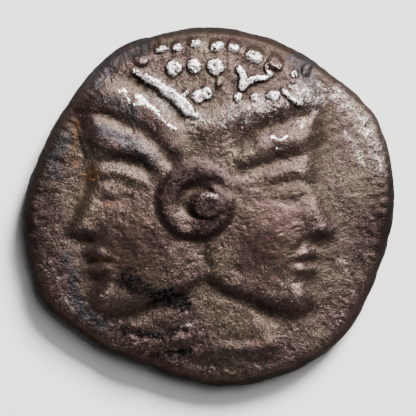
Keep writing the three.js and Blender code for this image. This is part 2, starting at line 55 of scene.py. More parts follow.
# the struck blank, in mm; its width and height are the frame's own
blank = {
    "width": (cadHigh.x - cadLow.x) / mm,
    "height": (cadHigh.y - cadLow.y) / mm,
    "fieldLevel": 1.3,
    "fieldSag": 0.08,
    # powers of the share of the radius by which the ground sinks and its swells fade
    "sagPower": 4,
    "fadePower": 6,
    "waistLevel": 0.6,
    "upperRound": 0.3,
    "lowerRound": 0.6,
    # place in degrees, share of the radius, spread in degrees
    "outlineSwells": [
        (8, 0.032, 18), (29, 0.045, 12), (75, -0.01, 45), (120, 0.015, 9), (147, -0.038, 17),
        (166, -0.01, 9), (187, 0.032, 15), (209, 0.056, 11), (250, -0.051, 17), (282, 0.008, 22),
        (312, 0.038, 18),
    ],
    # place in degrees, mm, spread in degrees
    "edgeSwells": [(148, 0.16, 26), (205, 0.14, 24), (258, 0.3, 34), (332, 0.14, 22)],
    "sagSwells": [(30, 0.12, 26), (95, 0.06, 30), (160, -0.07, 22), (255, 0.18, 38)],
    # place in shares of the half width and height, rise and spread in mm
    "groundSwells": [
        (0.83, 0.1, 0.05, 0.9), (0.6, -0.66, -0.05, 0.8), (-0.84, -0.2, 0.04, 0.7),
        (-0.62, -0.62, -0.05, 0.7), (0.82, 0.5, 0.04, 0.6), (-0.8, 0.36, -0.04, 0.5),
    ],
    # cells across the struck face, and rings of the rounded side, the wall and the land
    "faceCells": 244,
    "upperRings": 6,
    "lowerRings": 8,
    "wallRings": 5,
    "landRings": 9,
}

# the double head: heights in mm, places in shares of its height, across from the middle and up
# from the chin
head = {
    "height": 8.1,
    "shift": -0.1,
    "crownMargin": 0.24,
    "crownShare": 1.01,
    "relief": 0.26,
    "dome": 0.17,
    "domeUp": 0.45,
    "domeAcross": 0.33,
    "domeAlong": 0.5,
    "step": 0.34,
    "footShare": 0.5,
    "hairShare": 2,
    "neckRelief": 0.15,
    "seamDepth": 0.08,
    "crease": 0.03,
    "faceRelief": 0.1,
    "hairRelief": 0.145,
    # strength and cell in mm and seed of the wear of the hair, and where it begins up the head
    "hairWear": (0.016, 0.32, 67),
    "hairUp": (0.5, 0.6),
    "diademRelief": 0.12,
    "diademFade": (0.5, 1.5),
    "bandRelief": 0.05,
    "leftReach": 1.05,
    "crown": [
        (0, 1.01), (0.14, 0.99), (0.25, 0.945), (0.34, 0.89), (0.405, 0.815), (0.425, 0.73),
        (0.405, 0.64),
    ],
    "face": [
        (0.392, 0.585), (0.4, 0.54), (0.398, 0.475), (0.437, 0.375), (0.466, 0.3), (0.455, 0.275),
        (0.392, 0.262), (0.408, 0.213), (0.38, 0.186), (0.4, 0.156), (0.366, 0.12), (0.388, 0.06),
        (0.372, 0.012), (0.325, -0.004),
    ],
    "jaw": [(0.25, 0.004), (0.16, 0.03), (0.07, 0.062)],
    "nape": [(0, 0.1)],
    "neck": [
        (-0.12, 0.2), (0.12, 0.2), (0.16, 0.1), (0.2, 0), (0.265, -0.06), (0.28, -0.12), (0.22, -0.168),
        (0, -0.175), (-0.24, -0.165), (-0.31, -0.11), (-0.31, -0.05), (-0.2, 0.01), (-0.16, 0.1),
    ],
    # half width, rise as a share of the relief, points
    "hairLines": [
        (0.028, 0.6, [
            (-0.412, 0.803), (-0.346, 0.81), (-0.288, 0.799), (-0.212, 0.763), (-0.11, 0.664),
        ]),
        (0.05, 0.75, [
            (-0.426, 0.763), (-0.346, 0.755), (-0.263, 0.723), (-0.193, 0.675), (-0.128, 0.606),
        ]),
        (0.022, -0.8, [
            (-0.434, 0.726), (-0.339, 0.706), (-0.241, 0.663), (-0.182, 0.617), (-0.121, 0.555),
        ]),
        (0.04, 0.4, [(-0.42, 0.68), (-0.34, 0.655), (-0.26, 0.625), (-0.2, 0.59)]),
        (0.026, 0.7, [
            (-0.426, 0.643), (-0.386, 0.632), (-0.328, 0.604), (-0.23, 0.575), (-0.172, 0.519),
        ]),
        (0.026, -0.7, [
            (-0.463, 0.603), (-0.408, 0.552), (-0.317, 0.544), (-0.244, 0.533), (-0.193, 0.508),
        ]),
        (0.03, -0.35, [(-0.33, 0.85), (-0.25, 0.822), (-0.178, 0.777), (-0.1, 0.702)]),
        (0.012, -0.4, [
            (-0.354, 0.876), (-0.273, 0.843), (-0.208, 0.803), (-0.146, 0.752), (-0.07, 0.694),
        ]),
        (0.045, 0.85, [(0, 0.664), (0.072, 0.708), (0.163, 0.735), (0.309, 0.763), (0.426, 0.81)]),
        (0.022, -0.8, [(0.116, 0.6), (0.193, 0.66), (0.244, 0.683), (0.305, 0.701), (0.411, 0.735)]),
        (0.034, 0.75, [(0.142, 0.562), (0.182, 0.584), (0.229, 0.606), (0.291, 0.623), (0.393, 0.643)]),
        (0.022, -0.6, [(0.127, 0.508), (0.171, 0.522), (0.254, 0.548), (0.331, 0.566), (0.4, 0.581)]),
    ],
    "diademLines": [
        (0.013, 0.7, [(-0.259, 0.876), (-0.233, 0.865), (-0.201, 0.846)]),
        (0.018, 0.9, [(-0.212, 0.854), (-0.172, 0.828), (-0.128, 0.795)]),
        (0.021, 1, [(-0.142, 0.806), (-0.088, 0.763), (-0.059, 0.734)]),
        (0.009, 0.7, [(-0.066, 0.741), (-0.048, 0.726), (-0.033, 0.715)]),
        (0.011, 0.9, [(-0.091, 0.77), (-0.077, 0.785), (-0.066, 0.795)]),
        (0.015, 1, [(0.123, 0.879), (0.134, 0.868), (0.138, 0.843), (0.134, 0.817)]),
        (0.013, 0.95, [(0.134, 0.817), (0.156, 0.836), (0.182, 0.85), (0.214, 0.854)]),
        (0.006, 0.7, [(0.233, 0.865), (0.225, 0.883), (0.222, 0.901)]),
        (0.01, 0.7, [(0.28, 0.806), (0.298, 0.788), (0.316, 0.774), (0.342, 0.759)]),
    ],
    "neckLines": [
        (0.018, -1.1, [(-0.3, -0.055), (-0.244, -0.076), (-0.142, -0.058), (-0.05, -0.03)]),
        (0.022, 0.9, [(-0.24, -0.115), (-0.127, -0.1), (-0.03, -0.08)]),
        (0.016, -0.9, [(-0.21, -0.146), (-0.13, -0.141), (-0.02, -0.118)]),
        (0.016, -0.8, [(0.08, -0.098), (0.16, -0.1), (0.235, -0.088)]),
        (0.02, 0.8, [(0.07, -0.126), (0.16, -0.128), (0.235, -0.114)]),
        (0.015, -0.7, [(0.073, -0.152), (0.178, -0.154), (0.23, -0.14)]),
    ],
    "seamLines": [(0.034, -1, [(-0.02, 0.25), (-0.008, 0.18), (0.004, 0.1), (0.04, 0.04)])],
    # forms of one plain face, mirrored: brow, bridge, lips, mouth, fold, lids, nostril
    "faceLines": [
        (0.02, 0.6, [(0.24, 0.49), (0.31, 0.512), (0.392, 0.497)]),
        (0.022, 0.55, [(0.39, 0.46), (0.415, 0.375), (0.443, 0.305)]),
        (0.015, 0.6, [(0.345, 0.205), (0.395, 0.213)]),
        (0.015, 0.6, [(0.345, 0.163), (0.388, 0.158)]),
        (0.011, -0.6, [(0.328, 0.185), (0.375, 0.186)]),
        (0.016, -0.45, [(0.372, 0.302), (0.358, 0.262), (0.335, 0.222)]),
        (0.009, 0.4, [(0.268, 0.436), (0.3, 0.462), (0.335, 0.465), (0.365, 0.446)]),
        (0.008, 0.28, [(0.272, 0.432), (0.31, 0.42), (0.352, 0.428)]),
        (0.01, -0.35, [(0.408, 0.272), (0.436, 0.275)]),
    ],
    # place across and up, size across and up, rise as a share: cheek, socket, eye, nose wing, chin
    "faceSwells": [
        (0.24, 0.28, 0.13, 0.13, 1),
        (0.318, 0.442, 0.072, 0.046, -1),
        (0.322, 0.442, 0.036, 0.022, 1.1),
        (0.402, 0.287, 0.026, 0.022, 0.7),
        (0.345, 0.068, 0.042, 0.042, 0.7),
    ],
    # place and size of the smooth cheek
    "cheekAt": (0.24, 0.26),
    "cheekSize": (0.15, 0.2),
    # rounds of averaging
    "softening": 8,
}

# boss and ring over the ears, in shares of the head's height; heights in mm, turns in degrees
ornament = {
    "bossAt": (0.009, 0.386),
    "bossFlat": 0.036,
    "bossFoot": 0.066,
    "bossStretch": 1.2,
    "bossRelief": 0.2,
    "ringAt": (-0.033, 0.406),
    "ringCrest": 0.1,
    "ringFlat": 0.02,
    "ringFoot": 0.056,
    "ringRelief": 0.14,
    "hollowRadius": 0.085,
    "hollowHalf": 0.02,
    "hollowFrom": 35,
    "hollowTo": 222,
    "hollowFade": 22,
    "hollowDepth": 0.06,
    # share of the dark tint that the hollow loses
    "hollowPale": 0.55,
}

# dots of hair: place across and up, half width and half height, tilt in degrees, share of bare silver
dots = {
    "relief": 0.12,
    "fullSize": 0.026,
    "roundPower": 3,
    "seed": 41,
    # shift and spread of the pit in shares of the dot, and how far it dulls the silver
    "pitDepth": 0.05,
    "pitShift": 0.3,
    "pitSpread": 0.3,
    "dullSpread": 0.25,
    "dulling": 0.8,
    # bare silver fades between these shares; on the first row it sits higher
    "bareFade": (0.55, 1.05),
    "rimFade": (0.85, 1.1),
    "firstRowLift": 0.45,
    # strength in mm, cell in mm, seed
    "roughness": (0.02, 0.12, 43),
    # strength in shares, cell in mm, seeds across and up
    "raggedness": (0.004, 0.3, 47, 53),
    "firstRow": [
        (-0.23, 0.917, 0.034, 0.024, -5, 0.2), (-0.159, 0.961, 0.03, 0.02, 25, 0.7),
        (-0.102, 0.967, 0.025, 0.021, 32, 0.9), (-0.04, 0.981, 0.025, 0.022, 30, 1),
        (0.041, 0.972, 0.03, 0.025, 25, 1), (0.102, 0.97, 0.03, 0.025, 5, 1),
        (0.182, 0.937, 0.038, 0.028, -20, 1), (0.254, 0.905, 0.036, 0.028, -30, 0.25),
    ],
    "secondRow": [
        (-0.113, 0.886, 0.033, 0.033, 0, 1), (-0.042, 0.893, 0.033, 0.033, 0, 1),
        (0.037, 0.891, 0.036, 0.036, 0, 1),
    ],
    "thirdRow": [
        (-0.022, 0.784, 0.028, 0.028, 0, 1), (0.005, 0.793, 0.028, 0.028, 0, 1),
        (0.12, 0.781, 0.018, 0.02, 0, 0.8), (0.178, 0.781, 0.018, 0.018, 0, 0.8),
        (0.247, 0.786, 0.03, 0.022, 0, 0.95),
    ],
    "strays": [
        (0.051, 0.836, 0.016, 0.022, 0, 0.2), (0.236, 0.866, 0.014, 0.013, 0, 1),
        (0.32, 0.868, 0.015, 0.015, 0, 0.7), (0.32, 0.839, 0.012, 0.01, 0, 0.6),
        (0.309, 0.814, 0.012, 0.012, 0, 0.4), (0.364, 0.877, 0.024, 0.02, -40, 0.2),
    ],
}

# punched square below, with a small head; its outline and lines are in shares of the head's height
reverse = {
    "depth": 0.3,
    "turn": 8,
    "draft": 0.16,
    "land": 0.6,
    "relief": 0.2,
    "leastFloor": 0.02,
    "headShare": 0.94,
    "step": 0.08,
    "domeShare": 0.25,
    "domeSpread": 0.35,
    "outline": [
        (-0.3, 0.1), (-0.26, 0.3), (-0.08, 0.44), (0.14, 0.44), (0.34, 0.32), (0.42, 0.1),
        (0.44, -0.14), (0.3, -0.1), (0.2, -0.2), (0.2, -0.42), (0, -0.46), (-0.16, -0.4),
        (-0.14, -0.28), (-0.26, -0.28), (-0.3, -0.16), (-0.27, -0.08), (-0.34, -0.03),
    ],
    "lines": [
        (0.035, 0.6, [(-0.31, 0.12), (-0.1, 0.14), (0.1, 0.06), (0.22, -0.1)]),
        (0.045, 0.6, [(-0.2, 0.38), (0.1, 0.42), (0.34, 0.28), (0.42, 0.02)]),
        (0.03, -0.6, [(-0.22, 0.02), (-0.12, 0.02)]),
    ],
}

# unevenness of the worn metal: strength and cell of each layer in mm, and its seed
wear = {
    "swell": (0.012, 0.9, 3),
    "ripple": (0.009, 0.28, 5),
    "grain": (0.004, 0.1, 8),
    "pits": (0.016, 0.14, 13),
    "flow": (0.005, 0.6, 17),
    "rim": (0.012, 0.16, 61),
    "edge": (0.035, 0.5, 23),
    "land": (0.02, 0.5, 29),
    # noise that makes a pit, and shares of the radius where flow and rim start and are full
    "pitMarks": (0.5, 0.95),
    "flowMarks": (0.55, 0.9),
    "rimMarks": (0.86, 0.95),
    "flowLines": 256,
    # mean and greatest loss at the edge, as shares of its depth
    "edgeLoss": 0.6,
    "edgeMost": 2,
    # rounds of averaging that part fine and broad heights, and the deepest fine dirt in mm
    "fineRounds": 12,
    "broadRounds": 200,
    "broadFade": (0.85, 1),
    "dirtDepth": 0.035,
}

# dirt, tints, bare silver and painted sheen on the struck side, in mm from the middle: half width and
# points
stains = {
    "soot": [
        (0.3, [(-2.46, -2.09), (-1.73, -2.45), (-0.84, -2.74)]),
        (0.12, [(-2.46, -3.66), (-1.5, -3.75), (-0.72, -3.51)]),
        (0.08, [(-1.74, -4.35), (-0.52, -4.22)]),
        (0.05, [(-3.79, 2.06), (-3.67, 1.68), (-3.6, 1.45)]),
    ],
    "rust": [
        (0.2, [(1.08, 5.13), (1.96, 4.87), (2.64, 4.39)]),
        (0.35, [(-4.82, -2.65), (-4.78, -2.6)]),
        (0.15, [(1.3, -4.01), (1.74, -4.01)]),
    ],
    "earth": [
        (0.06, [(-3.85, 2.51), (-3.94, 1.83), (-3.88, 1.24)]),
        (0.2, [(-3.47, 0.97), (-3.43, 0.97)]),
        (0.07, [(2.8, 2.6), (2.84, 2.6)]),
        (0.07, [(-2.92, 0.06), (-2.88, 0.06)]),
        (0.07, [(-3.1, -1.62), (-3.06, -1.62)]),
    ],
    "slate": [
        (0.2, [(-4.2, 2), (-4.45, 1.5), (-4.65, 0.9)]),
        (0.17, [(-4.15, -1.5), (-4, -2.2), (-3.85, -2.8), (-3.5, -3.2), (-3.1, -3.45)]),
        (0.3, [(2.75, 4.2), (2.9, 3.7), (3.1, 3.3)]),
        (0.2, [(-3.1, 2.2), (-2.3, 1.85), (-1.7, 1.3)]),
        (0.2, [(-3, 3.2), (-2.6, 3), (-2.2, 2.7)]),
        (0.22, [(-3.4, 3.7), (-2.7, 4.3), (-1.9, 4.7)]),
    ],
    "ochre": [
        (0.5, [(0.1, -1.3), (0.15, -2), (0.2, -2.8)]),
        (0.6, [(1.4, 1), (2, 0.4)]),
        (0.4, [(0.5, -3.3), (1.8, -3.6)]),
        (0.35, [(-3.9, -0.4), (-3.7, 0.6)]),
    ],
    # bare silver on worn crests and marks, partly painted highlights
    "bare": [
        (0.035, [(-2.6, 3.4), (-2.45, 3.42), (-2.4, 3.25), (-2.3, 3.1)]),
        (0.08, [(-2.02, 3.25), (-1.9, 3.1), (-1.8, 3)]),
        (0.03, [(-2.15, 3.02), (-1.8, 3), (-1.6, 2.85)]),
        (0.055, [(-1.62, 2.9), (-1.5, 2.78), (-1.42, 2.62)]),
        (0.025, [(-1.35, 2.58), (-1.15, 2.4), (-0.95, 2.3)]),
        (0.025, [(1.85, 2.08), (2.05, 1.98), (2.2, 2.0), (2.3, 2.08)]),
        (0.02, [(2.0, 1.72), (2.08, 1.68), (2.12, 1.76)]),
    ],
    # painted sheen: lighter patches on the lit rim, crown and rolls, partly worn silver
    "sheen": [
        (0.25, [(3.7, 3.35), (4.3, 2.8), (4.7, 2.3), (4.95, 1.7), (5.1, 1.2)]),
        (0.12, [(2.5, 3.5), (2.9, 3.1), (3.1, 2.8)]),
        (0.3, [(-1.5, 3.5), (-0.9, 3.05), (-0.4, 2.6)]),
        (0.07, [(2.55, 2.6), (2.75, 2.5), (2.7, 2.35)]),
        (0.3, [(0.5, 2.6), (1.3, 2.85), (2.4, 3.05), (3.2, 3.35)]),
        (0.07, [(-0.2, 0.33), (0.03, 0.35), (0.2, 0.33)]),
        (0.05, [(-0.8, -3.5), (-0.35, -3.38)]),
        (0.12, [(4, 2.2), (4.3, 1.8), (4.5, 1.3)]),
        (0.05, [(-4.6, -1.6), (-4.3, -2.5), (-3.9, -3.1)]),
        (0.08, [(3.9, -1.4), (4.1, -2)]),
    ],
}


# zero below the first mark, one above the second, smooth between
def smoothStep(low, high, value):
    t = np.clip((value - low) / (high - low), 0, 1)
    return t * t * (3 - 2 * t)


# bell of height one: e to the power of minus the squared distance over the spread
def bell(distance, spread):
    return np.exp(-((distance / spread) ** 2))


# the larger of two heights, with the crease between them rounded
def blendMax(a, b, softness):
    return (a + b + np.sqrt((a - b) ** 2 + softness**2) - softness) / 2


# sum of bells round the coin, each at its own place in degrees
def swellSum(swells, turn):
    total = np.zeros_like(turn)
    for place, size, spread in swells:
        away = (np.degrees(turn) - place + 540) % 360 - 180
        total += size * bell(away, spread)
    return total


# smooth line through the points: a cubic for each stretch, its speed set by the roots of the chords
def lineThrough(points, closed=False, steps=10):
    p = np.array(points, float)
    if closed:
        p = np.vstack([p[-1], p, p[0], p[1]])
    else:
        p = np.vstack([2 * p[0] - p[1], p, 2 * p[-1] - p[-2]])
    chord = np.sqrt(np.linalg.norm(np.diff(p, axis=0), axis=1))[:, None]
    before, here, after = chord[:-2], chord[1:-1], chord[2:]
    p0, p1, p2, p3 = p[:-3], p[1:-2], p[2:-1], p[3:]
    leaving = ((p1 - p0) / before - (p2 - p0) / (before + here) + (p2 - p1) / here) * here
    arriving = ((p2 - p1) / here - (p3 - p1) / (here + after) + (p3 - p2) / after) * here
    t = np.linspace(0, 1, steps, endpoint=False)[None, :, None]
    p1, p2, leaving, arriving = (v[:, None, :] for v in (p1, p2, leaving, arriving))
    ease = 3 * t**2 - 2 * t**3
    line = (1 - ease) * p1 + ease * p2 + (t**3 - 2 * t**2 + t) * leaving + (t**3 - t**2) * arriving
    return np.vstack([line.reshape(-1, 2), p[-2:-1]])


# distance from each point to a line of points: the least over its stretches
def distanceTo(line, x, y):
    nearest = np.full(x.shape, np.inf)
    for (ax, ay), (bx, by) in zip(line[:-1], line[1:]):
        dx, dy = bx - ax, by - ay
        t = np.clip(((x - ax) * dx + (y - ay) * dy) / (dx * dx + dy * dy + 1e-12), 0, 1)
        nearest = np.minimum(nearest, (x - ax - t * dx) ** 2 + (y - ay - t * dy) ** 2)
    return np.sqrt(nearest)


# distance inside a closed line, below zero outside: the sign flips at each crossing of a level ray
def depthInside(line, x, y):
    inside = np.zeros(x.shape, bool)
    for (ax, ay), (bx, by) in zip(line[:-1], line[1:]):
        if ay != by:
            inside ^= ((ay > y) != (by > y)) & (x < ax + (y - ay) / (by - ay) * (bx - ax))
    return distanceTo(line, x, y) * np.where(inside, 1, -1)


# noise from -1 to 1: random values at whole numbers, blended smoothly between them
def latticeNoise(u, v, seed):
    side = 256
    table = np.random.default_rng(seed).uniform(-1, 1, (side, side))
    i, j = np.floor(u).astype(int), np.floor(v).astype(int)
    s, t = smoothStep(0, 1, u - i), smoothStep(0, 1, v - j)
    i, j, iNext, jNext = i % side, j % side, (i + 1) % side, (j + 1) % side
    low = table[i, j] * (1 - s) + table[iNext, j] * s
    high = table[i, jNext] * (1 - s) + table[iNext, jNext] * s
    return low * (1 - t) + high * t


# sum of noises on turned lattices, each with half the cell and a share of the strength before it
def layeredNoise(x, y, cell, seed, layers=3, share=0.55):
    total, strength, turnStep, seedStep = np.zeros(x.shape), 1.0, 0.7, 100
    for layer in range(layers):
        turn, size = turnStep * (seed + layer), cell / 2**layer
        u = (x * math.cos(turn) - y * math.sin(turn)) / size
        v = (x * math.sin(turn) + y * math.cos(turn)) / size
        total += strength * latticeNoise(u, v, seed + seedStep * layer)
        strength *= share
    return total


# sum of crests and grooves, each a bell of the distance to its line
def carvedLines(lines, x, y):
    total = np.zeros(x.shape)
    for half, rise, points in lines:
        total += rise * bell(distanceTo(lineThrough(points), x, y), half)
    return total


# outline of both heads, a closed smooth line; the left side mirrors the right one, a little wider
def headOutline():
    right = head["crown"] + head["face"] + head["jaw"]
    left = [(-x * head["leftReach"], y) for x, y in reversed(right[1:])]
    return lineThrough(right + head["nape"] + left, closed=True, steps=8)


# worn height: rounds of averaging the four neighbours on the grid
def softened(height, rounds):
    for _ in range(rounds):
        around = np.pad(height, 1, mode="edge")
        height = (around[:-2, 1:-1] + around[2:, 1:-1] + around[1:-1, :-2] + around[1:-1, 2:]) / 4
    return height


# the same plain brow, eye, nose, lips and chin on each side, as bells placed outward from the middle
def faceForms(across, up):
    outward = np.where(across > 0, across, -across / head["leftReach"])
    total = carvedLines(head["faceLines"], outward, up)
    for x, y, width, height, rise in head["faceSwells"]:
        total += rise * bell(np.hypot((outward - x) / width, (up - y) / height), 1)
    return head["faceRelief"] * total


# level on top and zero outside: falls smoothly between the edge of the flat and the foot
def plateau(distance, flat, foot):
    return 1 - smoothStep(flat, foot, distance)


# a flat boss in a flat ring; the hollow between them fades out towards the lower right
def earOrnament(across, up):
    part = ornament
    dx, dy = across - part["bossAt"][0], up - part["bossAt"][1]
    away = np.hypot(dx / part["bossStretch"], dy)
    boss = plateau(away, part["bossFlat"], part["bossFoot"])
    fromRing = np.hypot(across - part["ringAt"][0], up - part["ringAt"][1])
    ring = plateau(abs(fromRing - part["ringCrest"]), part["ringFlat"], part["ringFoot"])
    turn = np.degrees(np.arctan2(dy, dx)) % 360
    opening = smoothStep(part["hollowFrom"] - part["hollowFade"], part["hollowFrom"], turn)
    opening *= 1 - smoothStep(part["hollowTo"], part["hollowTo"] + part["hollowFade"], turn)
    hollow = opening * bell(away - part["hollowRadius"], part["hollowHalf"])
    rise = blendMax(part["bossRelief"] * boss, part["ringRelief"] * ring, head["crease"])
    tint = np.maximum(boss, ring) * (1 - part["hollowPale"] * hollow)
    return rise - part["hollowDepth"] * hollow, tint


# dots: in each, height falls with the cube of the distance, a pit sits off its middle, and silver
# is bare inwards
def hairDots(across, up):
    random = np.random.default_rng(dots["seed"])
    rise, bare = np.zeros(across.shape), np.zeros(across.shape)
    for row in ("firstRow", "secondRow", "thirdRow", "strays"):
        for x, y, width, height, tilt, shine in dots[row]:
            c, s = math.cos(math.radians(tilt)), math.sin(math.radians(tilt))
            u = ((across - x) * c + (up - y) * s) / width
            v = ((up - y) * c - (across - x) * s) / height
            share, size = np.hypot(u, v), min(1, width / dots["fullSize"])
            pitU, pitV = random.uniform(-dots["pitShift"], dots["pitShift"], 2)
            fromPit = np.hypot(u - pitU, v - pitV)
            pit = dots["pitDepth"] * bell(fromPit, dots["pitSpread"]) * size
            top = dots["relief"] * size * np.clip(1 - share ** dots["roundPower"], 0, 1)
            rise = np.maximum(rise, top - pit)
            lift = dots["firstRowLift"] if row == "firstRow" else 0
            bright = shine * (1 - dots["dulling"] * bell(fromPit, dots["dullSpread"]))
            bright = bright * plateau(np.hypot(u, v + lift), *dots["bareFade"])
            bare = np.maximum(bare, bright * plateau(share, *dots["rimFade"]))
    return rise, bare


# heads and neck as steps inside their outlines, with hair, bands and ornament on top, then the dots
def carving(x, y):
    chin = blank["height"] / 2 - head["crownMargin"] - head["crownShare"] * head["height"]
    across, up = (x - head["shift"]) / head["height"], (y - chin) / head["height"]
    step = head["step"] / head["height"]
    foot = -step * head["footShare"]
    headDepth = depthInside(headOutline(), across, up)
    neckDepth = depthInside(lineThrough(head["neck"], closed=True), across, up)
    inHead = smoothStep(foot, step, headDepth)
    inHair = smoothStep(foot, step * head["hairShare"], headDepth)
    swell = head["dome"] * bell(across, head["domeAcross"])
    swell *= bell(up - head["domeUp"], head["domeAlong"])
    seam = head["seamDepth"] * carvedLines(head["seamLines"], across, up)
    heads = inHead * (head["relief"] + swell + seam + faceForms(across, up))
    bands = head["bandRelief"] * carvedLines(head["neckLines"], across, up)
    neck = smoothStep(foot, step, neckDepth) * (head["neckRelief"] + bands)
    hair = head["hairRelief"] * carvedLines(head["hairLines"], across, up)
    wearDepth, wearCell, wearSeed = head["hairWear"]
    hair += wearDepth * smoothStep(*head["hairUp"], up) * layeredNoise(x, y, wearCell, wearSeed)
    earRise, earMask = earOrnament(across, up)
    broad = softened(blendMax(heads, neck, head["crease"]) + inHair * hair, head["softening"])
    roughDepth, roughCell, roughSeed = dots["roughness"]
    rough = roughDepth * layeredNoise(x, y, roughCell, roughSeed)
    ragged, raggedCell, seedAcross, seedUp = dots["raggedness"]
    across = across + ragged * layeredNoise(x, y, raggedCell, seedAcross)
    up = up + ragged * layeredNoise(x, y, raggedCell, seedUp)
    dotRise, dotMask = hairDots(across, up)
    ridge = np.zeros(x.shape)
    for half, rise, points in head["diademLines"]:
        away = distanceTo(lineThrough(points), across, up) / half
        ridge = np.maximum(ridge, rise * plateau(away, *head["diademFade"]))
    onTop = inHair * (head["diademRelief"] * ridge + earRise)
    rise = broad + onTop + dotRise + rough * np.maximum(dotMask, ridge)
    cheek, (cheekAcross, cheekUp), (wide, high) = np.zeros(x.shape), head["cheekAt"], head["cheekSize"]
    for side in (1, -head["leftReach"]):
        away = np.hypot((across / side - cheekAcross) / wide, (up - cheekUp) / high)
        cheek = np.maximum(cheek, bell(away, 1))
    return rise, {"dots": dotMask, "ridge": ridge**2, "ornament": earMask, "cheek": cheek * inHead}


# outline of the blank as radius over turn: swells on a circle, stretched to its width and height
def outlineRadius(turn):
    circle = np.radians(np.arange(0, 360, 0.25))
    points = (1 + swellSum(blank["outlineSwells"], circle)) * np.stack([np.cos(circle), np.sin(circle)])
    low, high = points.min(1), points.max(1)
    size = np.array([blank["width"], blank["height"]])
    x, y = (points.T - (low + high) / 2).T * (size / (high - low))[:, None]
    return np.interp(turn, np.arctan2(y, x), np.hypot(x, y), period=2 * math.pi)


# width of the rounded upper edge
def edgeRound(turn):
    return blank["upperRound"] + swellSum(blank["edgeSwells"], turn)


# level of the ground: flat in the middle, sinking with the fourth power of the share of the radius
def fieldLevel(share, turn):
    sag = blank["fieldSag"] + swellSum(blank["sagSwells"], turn)
    return blank["fieldLevel"] - sag * share ** blank["sagPower"]


# swells, ripples and grain of the metal, with pits, and lines of flow and roughness near the edge
def unevenness(x, y, share):
    total = np.zeros(x.shape)
    for name in ("swell", "ripple", "grain"):
        depth, cell, seed = wear[name]
        total += depth * layeredNoise(x, y, cell, seed)
    pitDepth, pitCell, pitSeed = wear["pits"]
    total -= pitDepth * smoothStep(*wear["pitMarks"], layeredNoise(x, y, pitCell, pitSeed, layers=1))
    flowDepth, flowLength, flowSeed = wear["flow"]
    around = np.arctan2(y, x) / (2 * math.pi) * wear["flowLines"]
    flow = latticeNoise(around, np.hypot(x, y) / flowLength, flowSeed)
    rimDepth, rimCell, rimSeed = wear["rim"]
    rough = smoothStep(*wear["rimMarks"], share) * layeredNoise(x, y, rimCell, rimSeed)
    return total + flowDepth * smoothStep(*wear["flowMarks"], share) * flow + rimDepth * rough


# square grid laid over a disc: each square ring becomes a round one, its turn even along the ring
def discGrid(cells):
    row, column = np.mgrid[0 : cells + 1, 0 : cells + 1]
    u, v = column / (cells / 2) - 1, row / (cells / 2) - 1
    sideways = np.where(u < 0, 4, 0) + v / np.where(u == 0, 1, u)
    upright = np.where(v < 0, 6, 2) - u / np.where(v == 0, 1, v)
    eighths = np.where(abs(u) >= abs(v), sideways, upright)
    share = np.maximum(abs(u), abs(v))
    return share, np.where(share == 0, 0, eighths) * math.pi / 4


# border of a grid of points, counter-clockwise from its lower left corner
def gridBorder(cells):
    stride, steps = cells + 1, np.arange(cells)
    bottom, right = steps, steps * stride + cells
    top, left = cells * stride + cells - steps, (cells - steps) * stride
    return np.concatenate([bottom, right, top, left])


# four corners of each cell of a grid, counter-clockwise from above
def gridQuads(cells):
    stride = cells + 1
    corner = (np.arange(cells)[:, None] * stride + np.arange(cells)).ravel()
    return np.stack([corner, corner + 1, corner + stride + 1, corner + stride], 1)


# quads from one ring to the next, facing out when the first lies above the second
def ringQuads(upper, lower):
    return np.stack([upper, lower, np.roll(lower, -1), np.roll(upper, -1)], 1)


# triangles from a ring to one of half as many points
def halvingTriangles(full, half):
    even, odd = full[::2], full[1::2]
    evenNext, halfNext = np.roll(even, -1), np.roll(half, -1)
    corners = [(even, half, odd), (odd, half, halfNext), (odd, halfNext, evenNext)]
    return np.concatenate([np.stack(three, 1) for three in corners])


# struck face: the disc grid raised by ground, carving and unevenness
def struckFace():
    share, turn = discGrid(blank["faceCells"])
    radius = share * (outlineRadius(turn) - edgeRound(turn))
    x, y = radius * np.cos(turn), radius * np.sin(turn)
    ground = fieldLevel(share, turn)
    for ax, ay, rise, spread in blank["groundSwells"]:
        away = np.hypot(x - ax * blank["width"] / 2, y - ay * blank["height"] / 2)
        ground += (1 - share ** blank["fadePower"]) * rise * bell(away, spread)
    rise, masks = carving(x, y)
    z = ground + rise + unevenness(x, y, share)
    masks["fine"] = np.maximum(z - softened(z, wear["fineRounds"]), -wear["dirtDepth"])
    broad = z - softened(z, wear["broadRounds"])
    masks["broad"] = broad * (1 - smoothStep(*wear["broadFade"], share))
    return np.stack([x, y, z], -1).reshape(-1, 3), {name: mask.ravel() for name, mask in masks.items()}


# rounded side: a quarter ellipse from the struck face out to the waist, and one back in to the flat
def sideRings(turn, topLevel):
    outline, upper, waist = outlineRadius(turn), edgeRound(turn), blank["waistLevel"]
    depth, cell, seed = wear["edge"]
    rings = []
    for lift in np.radians(np.linspace(90, 0, blank["upperRings"] + 1)[1:]):
        level = waist + (topLevel - waist) * math.sin(lift)
        rings.append((outline - upper * (1 - math.cos(lift)), level))
    for drop in np.radians(np.linspace(0, 90, blank["lowerRings"] + 1)[1:]):
        level = np.full_like(turn, waist * (1 - math.sin(drop)))
        rings.append((outline - blank["lowerRound"] * (1 - math.cos(drop)), level))
    for i, (radius, level) in enumerate(rings):
        fade = math.sin(math.pi * (i + 1) / (len(rings) + 1))
        rough = layeredNoise(np.cos(turn) * radius + level, np.sin(turn) * radius + level, cell, seed)
        radius = radius - depth * fade * np.clip(wear["edgeLoss"] + rough, 0, wear["edgeMost"])
        rings[i] = np.stack([radius * np.cos(turn), radius * np.sin(turn), level], -1)
    return rings


